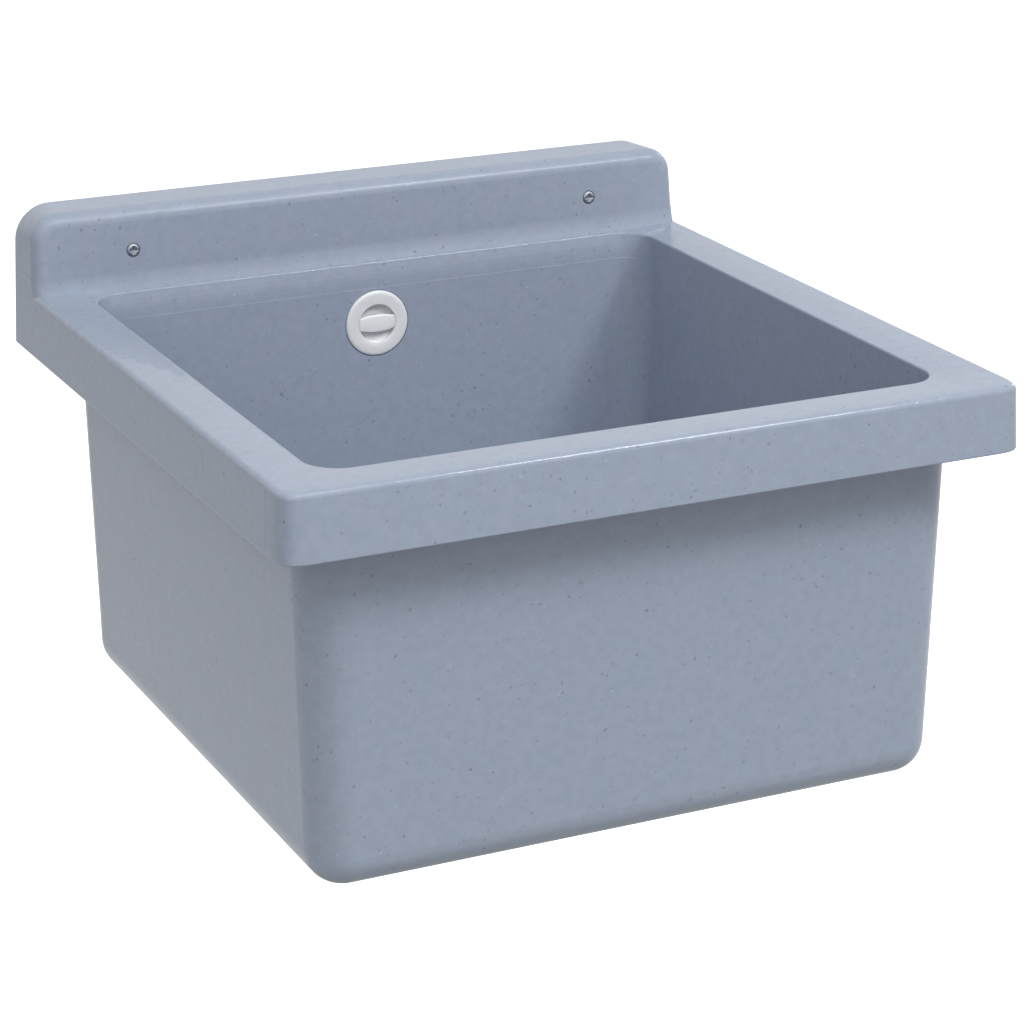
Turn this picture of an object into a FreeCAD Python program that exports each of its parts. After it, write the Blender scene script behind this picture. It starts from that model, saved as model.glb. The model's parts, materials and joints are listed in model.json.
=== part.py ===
import FreeCAD, Part
import math
import os

# Wall-mounted utility sink: a moulded resin basin, its overflow and its basket drain.
# The origin lies on the wall plane, midway between the two wall screws.
# +X is to the right, -Y is out of the wall, +Z is up. Millimetres and degrees.

# Basin: rim, skirt and backsplash
basin_width = 400.0  # across the foot of the skirt
basin_depth = 403.0  # from the wall to the skirt's front, at its foot
skirt_height = 34.5
skirt_draft = 2.6
skirt_wall = 8.0
skirt_corner = 22.5  # at the skirt's foot
skirt_foot_round = 1.0
rim_thickness = 11.0
rim_edge_round = 3.5
rim_land = 1.5  # level strip along the rim's edge
rim_fall = 1.3  # from that strip down to the bowl's mouth, ever steeper
mouth_land = 0.5  # level strip along the mouth
splash_rise = 43.4  # above the rim
splash_depth = 35.8  # at the rim
splash_lean = 5.0
splash_side_inset = 0.5  # the sides draw in from the wall to the front
splash_corner = 20.0  # at the wall
splash_front_corner = 12.0
splash_edge_round = 8.0
splash_cove = 2.5  # out along the rim
splash_cove_rise = 10.0  # up the backsplash
splash_cove_sink = 0.1  # the cove's ends lie this far under the faces that they meet
splash_wall = 9.0

# Basin: body and bowl
body_height = 183.9  # from the skirt's foot to the bottom
body_width = 356.0  # at the skirt's foot
body_front_setback = 23.3  # from the skirt's front
body_wall_gap = 30.0  # from the wall to the body's back
body_draft = 1.34
body_corner = 24.0  # at the skirt's foot
body_foot_round = 19.0
bowl_side_wall = 9.2
bowl_front_wall = 8.5
bowl_back_wall = 14.3
bowl_corner = 18.0  # at the skirt's foot
bowl_foot_round = 12.0
floor_thickness = 12.0
floor_fall = 3.0
floor_dish_radius = 120.0
lip_round = 1.2
back_step = 0.6  # ledge across the bowl's back wall
back_step_depth = 16.0  # below the rim
back_flare = 1.8  # from the ledge up to the mouth the wall leans back, ever steeper

# Wall screws
screw_rise = 20.0  # above the rim
screw_spacing = 281.0
screw_thread_radius = 2.5  # in the wall
screw_shank_radius = 1.9  # plain part under the head
screw_head_radius = 3.7
screw_head_height = 2.4
screw_head_side = 1.4  # straight part of the head's edge
screw_crown_radius = 2.7
screw_reach = 45.0  # into the wall
screw_point = 6.0
screw_recess_width = 1.2
screw_recess_length = 4.8
screw_recess_depth = 1.5
screw_hole_clearance = 0.4
screw_head_clearance = 0.3
screw_seat_depth = 1.6  # from the splash's face to the head's seat
screw_boss_radius = 11.0

# Overflow
overflow_drop = 36.5  # below the rim
rosette_radius = 19.0
rosette_opening_radius = 11.2
rosette_height = 3.2
rosette_side_height = 1.4
rosette_bevel = 1.4
rosette_crown = 0.4  # rise of its face to the middle of the ring
rosette_opening_bevel = 0.8
rosette_tube_wall = 2.0
rosette_tube_reach = 14.0  # past the wall's back seat
rosette_bar_half_height = 4.9
rosette_bar_end_half_height = 3.5
rosette_bar_depth = 4.5
rosette_bar_crown = 0.6  # rise of its face to its middle line
rosette_bar_round = 0.7
overflow_hole_clearance = 0.5
front_seal_thickness = 0.8
front_seal_radius = 17.0
rear_seal_thickness = 2.0
overflow_seat_clearance = 0.6  # round the cover and the bend's flange
overflow_seat_depth = 0.3  # at the shallow edge of each flat
elbow_flange_radius = 18.5
elbow_flange_thickness = 3.0
elbow_wall = 2.5
elbow_depth = 25.0  # behind its flange's face
elbow_outlet_offset = 12.5  # from its flange's face to the outlet's axis
elbow_outlet_drop = 36.0  # from the overflow's axis to the outlet's mouth
thread_clearance = 0.1

# Overflow pipe and its compression joints
pipe_radius = 9.0
pipe_wall = 1.5
pipe_bend_radius = 40.0
pipe_insertion = 12.0
pipe_clearance = 0.15
socket_depth = 14.0
socket_wall = 2.35
joint_seal_length = 3.0
nut_wall = 2.2
nut_grip_length = 11.0  # over the socket's thread
nut_end_wall = 2.5
nut_grips = 12
nut_grip_radius = 1.2

# Drain
drain_from_wall = 170.0
drain_hole_radius = 44.0
drain_seat_depth = 2.8
cup_flange_radius = 55.0
cup_flange_clearance = 1.5
cup_sheet = 1.0
cup_throat_radius = 41.0  # inside, under the flange
cup_ledge_radius = 39.0  # inside, where the wall meets the ledge
cup_ledge_depth = 26.0  # below the flange
cup_well_radius = 25.0
cup_well_depth = 13.0  # below the ledge
cup_hole_radius = 4.0
cup_hole_count = 6
cup_screw_clearance = 0.15
cup_seal_thickness = 1.6
body_seal_thickness = 3.0
body_seal_inset = 1.0  # from the drain flange's edge
drain_flange_radius = 54.0
drain_flange_thickness = 4.0
drain_wall = 3.0
drain_bore_radius = 46.0
drain_bore_depth = 31.0
drain_cone_height = 8.0
outlet_radius = 23.9
outlet_wall = 3.9
outlet_length = 17.0
cross_boss_radius = 9.0
cross_arm_width = 4.0
cross_arm_height = 4.2
cross_arms = 3
cross_seat = 2.0  # out past the bore, between the drain body and the spigot
cross_clearance = 0.1
inlet_drop = 17.0  # from the basin's bottom to the inlet's axis
inlet_reach = 22.0  # from the drain body's wall to the inlet's mouth
insert_radius = 5.0
insert_length = 11.0
drain_screw_radius = 3.0
drain_screw_clearance = 0.05
drain_screw_head_radius = 6.5
drain_screw_head_height = 3.0
drain_screw_head_side = 1.8
drain_screw_crown_radius = 5.2
drain_screw_slot = 1.3  # width and depth
drain_screw_length = 11.0

# Lift-out basket and stopper
basket_sheet = 0.8
basket_top_radius = 38.0
basket_foot_radius = 30.0
basket_height = 20.0
basket_rim_width = 1.6
basket_slots = 16
basket_slot_width = 3.4
basket_slot_height = 11.0
basket_slot_reach = 3.2  # in past the foot's radius
stopper_radius = 32.0
stopper_thickness = 3.0
stopper_plate_radius = 14.0
stopper_plate_thickness = 1.2
post_radius = 3.0
post_clearance = 0.05
post_height = 17.0  # above the basket's floor
post_tail = 1.0  # past the nut
stopper_nut_flats = 10.0
stopper_nut_height = 4.0
knob_radius = 10.0
knob_height = 8.0
knob_neck_radius = 5.0
knob_waist_radius = 4.5
knob_waist_height = 2.8
knob_edge_height = 4.8
knob_edge_width = 1.2
knob_crown_radius = 8.5
knob_crown_height = 7.6

# Places that follow from the sizes
V = FreeCAD.Vector
UP = V(0, 0, 1)
OUT = V(0, -1, 0)
BACK = V(0, 1, 0)
overrun = 5.0  # how far a cutting shape passes the face that it cuts
level_tolerance = 0.01  # within which an edge counts as level
cove_sections = 8
rim_sections = 4
lip_sections = 5
flare_sections = 5
hexagon_sides = 6

rim_z = -screw_rise
foot_z = rim_z - skirt_height
bottom_z = foot_z - body_height
floor_z = bottom_z + floor_thickness
skirt_slope = math.tan(math.radians(skirt_draft))
body_slope = math.tan(math.radians(body_draft))
lean_slope = math.tan(math.radians(splash_lean))
overflow_z = rim_z - overflow_drop
mouth_z = rim_z - rim_fall
rim_half = basin_width / 2 - skirt_height * skirt_slope
rim_front = basin_depth - skirt_height * skirt_slope

# The overflow seats on flats cut square to its axis in both faces of the sloping back wall
bowl_back = body_wall_gap + bowl_back_wall
bowl_seat_radius = rosette_radius + overflow_seat_clearance
wall_seat_radius = elbow_flange_radius + overflow_seat_clearance
bowl_seat_y = overflow_seat_depth - bowl_back - (foot_z - overflow_z - bowl_seat_radius) * body_slope
wall_seat_y = -overflow_seat_depth - body_wall_gap - (foot_z - overflow_z + wall_seat_radius) * body_slope
rosette_tube_radius = rosette_opening_radius + rosette_tube_wall
overflow_hole_radius = rosette_tube_radius + overflow_hole_clearance
elbow_face_y = wall_seat_y + rear_seal_thickness
elbow_bore_radius = rosette_tube_radius + thread_clearance
elbow_radius = elbow_bore_radius + elbow_wall
pipe_y = elbow_face_y + elbow_outlet_offset
elbow_mouth_z = overflow_z - elbow_outlet_drop

drain_y = -drain_from_wall
drain_seat_z = floor_z - floor_fall - drain_seat_depth
cup_flange_z = drain_seat_z + cup_seal_thickness
cup_ledge_z = cup_flange_z - cup_ledge_depth
cup_well_z = cup_ledge_z - cup_well_depth
drain_top_z = bottom_z - body_seal_thickness
drain_cone_z = drain_top_z - drain_bore_depth
outlet_top_z = drain_cone_z - drain_cone_height
outlet_end_z = outlet_top_z - outlet_length
outlet_bore_radius = outlet_radius - outlet_wall
cross_radius = outlet_bore_radius + cross_seat
cross_foot_z = outlet_top_z - cross_arm_height
boss_top_z = cup_well_z - cup_sheet
inlet_z = bottom_z - inlet_drop
inlet_mouth_y = drain_y + drain_bore_radius + drain_wall + inlet_reach

pipe_bore_radius = pipe_radius - pipe_wall
socket_radius = pipe_radius + pipe_clearance
socket_thread_radius = socket_radius + socket_wall
nut_bore_radius = socket_thread_radius + thread_clearance
nut_radius = nut_bore_radius + nut_wall

stopper_top_z = cup_ledge_z + stopper_thickness
basket_floor_z = stopper_top_z + basket_sheet
basket_top_z = stopper_top_z + basket_height
stopper_nut_top_z = cup_ledge_z - stopper_plate_thickness
stopper_nut_foot_z = stopper_nut_top_z - stopper_nut_height
knob_z = basket_floor_z + post_height
post_hole_radius = post_radius + post_clearance


def rounded_loop(points, radii):
    """Closed wire through corner points, each rounded by its radius."""
    starts = []
    edges = []
    count = len(points)
    for i, corner in enumerate(points):
        to_last = (points[i - 1] - corner).normalize()
        to_next = (points[(i + 1) % count] - corner).normalize()
        half_angle = to_last.getAngle(to_next) / 2
        cut = radii[i] / math.tan(half_angle)
        middle = (to_last + to_next).normalize()
        inner = radii[i] / math.sin(half_angle) - radii[i]
        starts.append((corner + to_last * cut, corner + middle * inner, corner + to_next * cut))
    for i, (first, mid, last) in enumerate(starts):
        if radii[i] > 0:
            edges.append(Part.Arc(first, mid, last).toShape())
        edges.append(Part.LineSegment(last, starts[(i + 1) % count][0]).toShape())
    return Part.Wire(edges)


def plan_loop(half, front, back, z, front_corner, back_corner):
    """Rounded rectangle in plan, at height z."""
    points = [V(-half, back, z), V(-half, front, z), V(half, front, z), V(half, back, z)]
    return rounded_loop(points, [back_corner, front_corner, front_corner, back_corner])


def stacked(loops):
    """Solid through level loops whose corners share their centres: flat sides and conical corners."""
    faces = [Part.Face(loops[-1]), Part.Face(loops[0])]
    for low, high in zip(loops, loops[1:]):
        for first, second in zip(low.Edges, high.Edges):
            start = first.valueAt(first.FirstParameter)
            above = second.valueAt(second.FirstParameter)
            if first.Curve.TypeId == "Part::GeomCircle":
                turn = math.degrees(first.LastParameter - first.FirstParameter)
                riser = Part.LineSegment(start, above).toShape()
                faces.append(riser.revolve(first.Curve.Center, first.Curve.Axis, turn))
            else:
                end = first.valueAt(first.LastParameter)
                above_end = second.valueAt(second.LastParameter)
                faces.append(Part.Face(Part.makePolygon([start, end, above_end, above, start])))
    shell = Part.makeShell(faces)
    shell.sewShape()
    outward = Part.makeSolid(shell).Faces
    return Part.makeSolid(Part.makeShell(outward))


def lathe(profile, base, direction):
    """Solid turned from (radius, distance) points about an axis from base."""
    points = [V(radius, 0, along) for radius, along in profile]
    face = Part.Face(Part.makePolygon(points + points[:1]))
    solid = face.revolve(V(0, 0, 0), UP, 360)
    solid.Placement = FreeCAD.Placement(base, FreeCAD.Rotation(UP, direction))
    return solid


def ring(inner, outer, start, length, base, direction):
    """Plain turned ring."""
    end = start + length
    return lathe([(inner, start), (outer, start), (outer, end), (inner, end)], base, direction)


def rod(radius, length, base, direction):
    """Plain cylinder."""
    return Part.makeCylinder(radius, length, base, direction)


def around(solid, count, centre, axis):
    """Copies of a solid, evenly spaced about an axis."""
    copies = []
    for i in range(count):
        copy = solid.copy()
        copy.rotate(centre, axis, 360.0 * i / count)
        copies.append(copy)
    return copies


def edges_at(shape, z, skip_back):
    """Edges that lie level at height z, without those on the wall plane."""
    level = []
    for edge in shape.Edges:
        box = edge.BoundBox
        on_wall = skip_back and box.YMin > -level_tolerance
        if max(abs(box.ZMin - z), abs(box.ZMax - z)) < level_tolerance and not on_wall:
            level.append(edge)
    return level


def skirt_block(inset, top_z, low_z, back):
    """Drafted block of the rim and skirt, drawn in on three sides."""
    loops = []
    for z in (low_z, top_z):
        draw_in = inset + (z - foot_z) * skirt_slope
        corner = max(skirt_corner - draw_in, 0)
        loops.append(plan_loop(basin_width / 2 - draw_in, draw_in - basin_depth, back, z, corner, 0))
    return stacked(loops)


def body_loop(side_wall, front_wall, back_wall, corner, z):
    """Outline of the body at a height, or of the bowl inside its walls."""
    draft = (foot_z - z) * body_slope
    half = body_width / 2 - side_wall - draft
    front = -(basin_depth - body_front_setback - front_wall - draft)
    back = -(body_wall_gap + back_wall + draft)
    return plan_loop(half, front, back, z, corner - draft, corner - draft)


def body_block(side_wall, front_wall, back_wall, corner, top_z, low_z):
    """Tapered block of the body, or of the bowl inside its walls."""
    return stacked([body_loop(side_wall, front_wall, back_wall, corner, z) for z in (low_z, top_z)])


def splash_block(inset, low_z):
    """Upright backsplash with rounded shoulders and a leaning front."""
    outlines = []
    top_z = rim_z + splash_rise - inset
    at_wall = (0, 0, splash_corner)
    at_front = (-splash_depth, splash_side_inset, splash_front_corner)
    for y, draw_in, corner in (at_wall, at_front):
        shoulder = corner - inset
        low_half = basin_width / 2 - (low_z - foot_z) * skirt_slope - draw_in - inset
        top_half = basin_width / 2 - (top_z - foot_z) * skirt_slope - draw_in - inset
        points = [V(-low_half, y, low_z), V(low_half, y, low_z)]
        points += [V(top_half, y, top_z), V(-top_half, y, top_z)]
        outlines.append(rounded_loop(points, [0, 0, shoulder, shoulder]))
    block = Part.makeLoft(outlines, True, True)
    front_low = splash_depth - inset + (rim_z - low_z) * lean_slope
    front_top = splash_depth - inset - (top_z - rim_z) * lean_slope
    side = [V(0, overrun, low_z), V(0, -min(front_low, splash_depth), low_z)]
    side += [V(0, -front_top, top_z), V(0, overrun, top_z)]
    keep = Part.Face(Part.makePolygon(side + side[:1])).extrude(V(2 * basin_width, 0, 0))
    keep.translate(V(-basin_width, 0, 0))
    return block.common(keep)


def splash_foot():
    """Shallow cove at the foot of the backsplash's front."""
    half = rim_half - splash_side_inset
    toe = -(splash_depth + splash_cove - splash_cove_sink)
    wires = [plan_loop(half, toe, 0, mouth_z - overrun, splash_edge_round, 0)]
    for i in range(cove_sections + 1):
        up = i / cove_sections
        z = mouth_z - splash_cove_sink + splash_cove_rise * up
        front = toe + splash_cove * (1 - (1 - up) ** 2) + max(z - rim_z, 0) * lean_slope
        wires.append(plan_loop(half, front, 0, z, splash_edge_round, 0))
    return Part.makeLoft(wires, True, True)


def rim_dish():
    """Shallow hollow of the rim's face, which curves down to the bowl's mouth on three sides."""
    flare = lip_round + mouth_land
    draft = (foot_z - mouth_z) * body_slope
    mouth_half = body_width / 2 - bowl_side_wall - draft + flare
    mouth_front = basin_depth - body_front_setback - bowl_front_wall - draft + flare
    mouth_corner = bowl_corner - draft + flare
    edge = rim_edge_round + rim_land
    wires = []
    for i in range(rim_sections + 1):
        out = i / rim_sections
        half = mouth_half + (rim_half - edge - mouth_half) * out
        front = mouth_front + (rim_front - edge - mouth_front) * out
        corner = mouth_corner + (skirt_corner - edge - mouth_corner) * out
        z = rim_z - rim_fall * (1 - out) ** 2
        wires.append(plan_loop(half, -front, -splash_depth, z, corner, 0))
    wires.append(plan_loop(half, -front, -splash_depth, rim_z + overrun, corner, 0))
    return Part.makeLoft(wires, True, True)


def lip_cut():
    """Rounded edge of the bowl's mouth."""
    wires = []
    for i in range(lip_sections + 1):
        angle = math.radians(90.0 * i / lip_sections)
        flare = lip_round * (1 - math.cos(angle))
        back_wall = bowl_back_wall - back_step - back_flare - flare
        front_wall = bowl_front_wall - flare
        z = mouth_z - lip_round * (1 - math.sin(angle))
        wires.append(body_loop(bowl_side_wall - flare, front_wall, back_wall, bowl_corner + flare, z))
    return Part.makeLoft(wires, True, False)


def step_cut():
    """Hollow above the ledge on the bowl's back wall."""
    top_z = mouth_z - lip_round
    low_z = rim_z - back_step_depth
    wires = []
    for i in range(flare_sections + 1):
        up = i / flare_sections
        back_wall = bowl_back_wall - back_step - back_flare * up ** 2
        z = low_z + (top_z - low_z) * up
        wires.append(body_loop(bowl_side_wall, bowl_front_wall, back_wall, bowl_corner, z))
    return Part.makeLoft(wires, True, True)


def bowl_cut():
    """Everything that is hollow inside the bowl."""
    top_z = mouth_z - lip_round
    inner = body_block(bowl_side_wall, bowl_front_wall, bowl_back_wall, bowl_corner, top_z, floor_z)
    inner = inner.makeFillet(bowl_foot_round, edges_at(inner, floor_z, False))
    dish_foot = V(0, drain_y, floor_z - floor_fall)
    dish = Part.makeCone(drain_hole_radius, floor_dish_radius, floor_fall, dish_foot)
    seat_radius = cup_flange_radius + cup_flange_clearance
    seat = rod(seat_radius, floor_fall + drain_seat_depth, V(0, drain_y, drain_seat_z), UP)
    hole = rod(drain_hole_radius, floor_thickness + overrun, V(0, drain_y, bottom_z - overrun), UP)
    return inner.multiFuse([step_cut(), lip_cut(), dish, seat, hole])


def screw_places():
    """Points on the wall plane where the two wall screws enter it."""
    return [V(side * screw_spacing / 2, 0, 0) for side in (-1, 1)]


def screw_seat_y():
    """Seat of the screw heads, sunk in the leaning face."""
    face_depth = splash_depth - screw_rise * lean_slope
    return -(face_depth - screw_seat_depth)


def make_basin():
    """Moulded resin basin: one shell, hollow under the rim and behind the backsplash."""
    rim = skirt_block(0, rim_z, foot_z, 0)
    rim = rim.makeFillet(rim_edge_round, edges_at(rim, rim_z, True))
    rim = rim.makeFillet(skirt_foot_round, edges_at(rim, foot_z, True)).cut(rim_dish())
    body = body_block(0, 0, 0, body_corner, rim_z - rim_thickness / 2, bottom_z)
    body = body.makeFillet(body_foot_round, edges_at(body, bottom_z, False))
    splash = splash_block(0, rim_z - rim_edge_round)
    front = min(splash.Faces, key=lambda face: face.normalAt(0, 0).y)
    front_edges = [e for e in front.Edges if e.BoundBox.ZMax > rim_z]
    splash = splash.makeFillet(splash_edge_round, front_edges)
    hollow = skirt_block(skirt_wall, rim_z - rim_thickness, foot_z - overrun, overrun).cut(body)
    behind = splash_block(splash_wall, rim_z - rim_thickness - overrun)
    basin = rim.multiFuse([splash, splash_foot()]).cut(hollow.fuse(behind)).fuse(body)
    boss_depth = -screw_seat_y()
    for place in screw_places():
        basin = basin.fuse(rod(screw_boss_radius, boss_depth, place, OUT))
    basin = basin.cut(bowl_cut()).removeSplitter()
    hole_radius = screw_thread_radius + screw_hole_clearance
    for place in screw_places():
        seat = V(place.x, screw_seat_y(), place.z)
        basin = basin.cut(rod(hole_radius, splash_depth + overrun, place, OUT))
        basin = basin.cut(rod(screw_head_radius + screw_head_clearance, splash_depth, seat, OUT))
    bowl_seat = V(0, bowl_seat_y, overflow_z)
    basin = basin.cut(rod(bowl_seat_radius, overrun, bowl_seat, OUT))
    basin = basin.cut(rod(wall_seat_radius, overrun, V(0, wall_seat_y, overflow_z), BACK))
    return basin.cut(rod(overflow_hole_radius, bowl_back, bowl_seat, BACK))


def make_wall_screws():
    """Two cross-head screws, heads sunk in the backsplash, points standing out behind."""
    screws = []
    for place in screw_places():
        seat_y = screw_seat_y()
        tip = seat_y - screw_reach
        profile = [(0, tip), (screw_thread_radius, tip + screw_point), (screw_thread_radius, seat_y)]
        profile += [(screw_shank_radius, seat_y), (screw_shank_radius, 0)]
        profile += [(screw_head_radius, 0), (screw_head_radius, screw_head_side)]
        profile += [(screw_crown_radius, screw_head_height), (0, screw_head_height)]
        screw = lathe(profile, V(place.x, seat_y, place.z), OUT)
        top = V(place.x, seat_y - screw_head_height + screw_recess_depth, place.z)
        arm = (screw_recess_length, screw_recess_width)
        for length, height in (arm, arm[::-1]):
            slot = Part.makeBox(length, screw_recess_depth, height)
            slot.translate(top - V(length / 2, screw_recess_depth, height / 2))
            screw = screw.cut(slot)
        screws.append(screw)
    return Part.makeCompound(screws)


def rosette_bar():
    """Barrel-shaped crossbar with a crowned front, its crest at the origin."""
    reach = rosette_opening_radius + rosette_tube_wall / 2
    edges = []
    for side in (1, -1):
        middle = V(0, 0, side * rosette_bar_half_height)
        ends = [V(side * turn * reach, 0, side * rosette_bar_end_half_height) for turn in (-1, 1)]
        edges.append(Part.Arc(ends[0], middle, ends[1]).toShape())
    for side in (1, -1):
        ends = [V(side * reach, 0, turn * rosette_bar_end_half_height) for turn in (1, -1)]
        edges.append(Part.makeLine(*ends))
    outline = Part.Wire(Part.sortEdges(edges)[0])
    block = Part.Face(outline).extrude(BACK * rosette_bar_depth)
    crown_radius = (rosette_bar_half_height ** 2 + rosette_bar_crown ** 2) / 2 / rosette_bar_crown
    bar = block.common(rod(crown_radius, 2 * reach, V(-reach, crown_radius, 0), V(1, 0, 0)))
    long_edges = [e for e in bar.Edges if crosses_front(e)]
    return bar.makeFillet(rosette_bar_round, long_edges)


def crosses_front(edge):
    """Tells the two long front edges of the crossbar from its other edges."""
    box = edge.BoundBox
    return box.XLength > rosette_opening_radius and box.YMax < rosette_bar_depth - rosette_bar_round


def make_overflow_rosette():
    """Domed round cover with its threaded tube and barrel-shaped crossbar."""
    base = V(0, bowl_seat_y, overflow_z)
    start = front_seal_thickness
    tube_end = bowl_seat_y - wall_seat_y - rosette_tube_reach
    face = start + rosette_height
    crest = (rosette_radius + rosette_opening_radius) / 2
    profile = [(rosette_opening_radius, tube_end), (rosette_tube_radius, tube_end)]
    profile += [(rosette_tube_radius, start), (rosette_radius, start)]
    profile += [(rosette_radius, start + rosette_side_height)]
    profile += [(rosette_radius - rosette_bevel, face - rosette_crown), (crest, face)]
    profile += [(rosette_opening_radius + rosette_opening_bevel, face - rosette_crown)]
    profile += [(rosette_opening_radius, face - rosette_crown - rosette_opening_bevel)]
    cover = lathe(profile, base, OUT)
    bar = rosette_bar()
    bar.translate(base + OUT * face)
    return cover.fuse(bar).removeSplitter()


def make_overflow_front_seal():
    """Flat ring between the cover and the bowl's wall."""
    base = V(0, bowl_seat_y, overflow_z)
    return ring(overflow_hole_radius, front_seal_radius, 0, front_seal_thickness, base, OUT)


def make_overflow_rear_seal():
    """Flat ring between the wall's back and the outlet bend."""
    base = V(0, wall_seat_y, overflow_z)
    return ring(overflow_hole_radius, elbow_flange_radius, 0, rear_seal_thickness, base, BACK)


def make_overflow_elbow():
    """Outlet bend behind the wall: a socket for the cover's tube and a threaded mouth below."""
    base = V(0, elbow_face_y, overflow_z)
    shell = rod(elbow_radius, elbow_depth, base, BACK)
    shell = shell.fuse(rod(elbow_flange_radius, elbow_flange_thickness, base, BACK))
    mouth = V(0, pipe_y, elbow_mouth_z)
    shell = shell.fuse(rod(socket_thread_radius, elbow_outlet_drop, mouth, UP))
    chamber = rod(elbow_bore_radius, elbow_depth - elbow_wall, base, BACK)
    socket = rod(socket_radius, socket_depth, mouth, UP)
    bore = rod(pipe_bore_radius, elbow_outlet_drop, mouth, UP)
    return shell.cut([chamber, socket, bore]).removeSplitter()


def make_overflow_pipe():
    """Bent pipe from the outlet bend down behind the body and under it to the drain."""
    top = V(0, pipe_y, elbow_mouth_z + pipe_insertion)
    bend_top = V(0, pipe_y, inlet_z + pipe_bend_radius)
    bend_end = V(0, pipe_y - pipe_bend_radius, inlet_z)
    slack = pipe_bend_radius * (1 - math.sqrt(0.5))
    bend_mid = V(0, pipe_y - slack, inlet_z + slack)
    end = V(0, inlet_mouth_y - pipe_insertion, inlet_z)
    down = Part.LineSegment(top, bend_top).toShape()
    bend = Part.Arc(bend_top, bend_mid, bend_end).toShape()
    under = Part.LineSegment(bend_end, end).toShape()
    path = Part.Wire([down, bend, under])
    tubes = []
    for radius in (pipe_radius, pipe_bore_radius):
        section = Part.Wire(Part.makeCircle(radius, top, UP))
        tubes.append(path.makePipeShell([section], True, False))
    return tubes[0].cut(tubes[1])


def joint_mouths():
    """Mouths of the two pipe joints, with the way that the pipe leaves them."""
    return [(V(0, pipe_y, elbow_mouth_z), V(0, 0, -1)), (V(0, inlet_mouth_y, inlet_z), BACK)]


def make_pipe_seals():
    """Two rings that close the pipe joints."""
    seals = []
    for mouth, away in joint_mouths():
        seals.append(ring(pipe_radius, socket_thread_radius, 0, joint_seal_length, mouth, away))
    return Part.makeCompound(seals)


def make_pipe_nut(mouth, away):
    """Ribbed hand nut that presses the seal on to its mouth."""
    end = joint_seal_length + nut_end_wall
    profile = [(nut_bore_radius, -nut_grip_length), (nut_radius, -nut_grip_length), (nut_radius, end)]
    profile += [(socket_radius, end), (socket_radius, joint_seal_length)]
    profile += [(nut_bore_radius, joint_seal_length)]
    nut = lathe(profile, mouth, away)
    groove = rod(nut_grip_radius, nut_grip_length + end, V(nut_radius, 0, -nut_grip_length), UP)
    grooves = Part.makeCompound(around(groove, nut_grips, V(0, 0, 0), UP))
    grooves.Placement = FreeCAD.Placement(mouth, FreeCAD.Rotation(UP, away))
    return nut.cut(grooves)


def on_drain(solid):
    """Move a solid from the Z axis to the drain's axis."""
    solid.translate(V(0, drain_y, 0))
    return solid


def make_drain_cup():
    """Pressed steel cup: flange, throat, ledge for the stopper, and a holed well."""
    t = cup_sheet
    outer = [(cup_flange_radius, cup_flange_z), (cup_throat_radius + t, cup_flange_z)]
    outer += [(cup_ledge_radius + t, cup_ledge_z - t), (cup_well_radius + t, cup_ledge_z - t)]
    outer += [(cup_well_radius + t, cup_well_z - t), (0, cup_well_z - t)]
    inner = [(0, cup_well_z), (cup_well_radius, cup_well_z), (cup_well_radius, cup_ledge_z)]
    inner += [(cup_ledge_radius, cup_ledge_z), (cup_throat_radius, cup_flange_z)]
    inner += [(cup_throat_radius + t, cup_flange_z + t), (cup_flange_radius - t, cup_flange_z + t)]
    cup = lathe(outer + inner, V(0, 0, 0), UP)
    hole_circle = (cup_well_radius + drain_screw_head_radius) / 2
    below = cup_well_z - overrun
    hole = rod(cup_hole_radius, 2 * overrun, V(hole_circle, 0, below), UP)
    holes = around(hole, cup_hole_count, V(0, 0, 0), UP)
    holes.append(rod(drain_screw_radius + cup_screw_clearance, 2 * overrun, V(0, 0, below), UP))
    return on_drain(cup.cut(holes))


def make_drain_cup_seal():
    """Ring under the cup's flange."""
    base = V(0, drain_y, drain_seat_z)
    return ring(drain_hole_radius, cup_flange_radius - cup_sheet, 0, cup_seal_thickness, base, UP)


def make_drain_body_seal():
    """Ring between the drain body and the basin's bottom."""
    base = V(0, drain_y, drain_top_z)
    return ring(drain_bore_radius, drain_flange_radius - body_seal_inset, 0, body_seal_thickness, base, UP)


def make_drain_body():
    """Plastic housing under the floor, with the overflow's inlet and a round mouth below."""
    wall_radius = drain_bore_radius + drain_wall
    flange_foot = drain_top_z - drain_flange_thickness
    outer = [(drain_flange_radius, drain_top_z), (drain_flange_radius, flange_foot)]
    outer += [(wall_radius, flange_foot), (wall_radius, drain_cone_z), (outlet_radius, outlet_top_z)]
    inner = [(outlet_bore_radius, outlet_top_z), (outlet_bore_radius, outlet_top_z + drain_wall)]
    inner += [(drain_bore_radius, drain_cone_z + drain_wall), (drain_bore_radius, drain_top_z)]
    housing = lathe(outer + inner, V(0, 0, 0), UP)
    mouth = V(0, wall_radius + inlet_reach, inlet_z)
    inlet = rod(socket_thread_radius, drain_wall / 2 + inlet_reach, mouth, OUT)
    socket = rod(socket_radius, socket_depth, mouth, OUT)
    bore = rod(pipe_bore_radius, drain_wall + inlet_reach + overrun, mouth, OUT)
    return on_drain(housing.fuse(inlet).cut([socket, bore]).removeSplitter())


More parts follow.
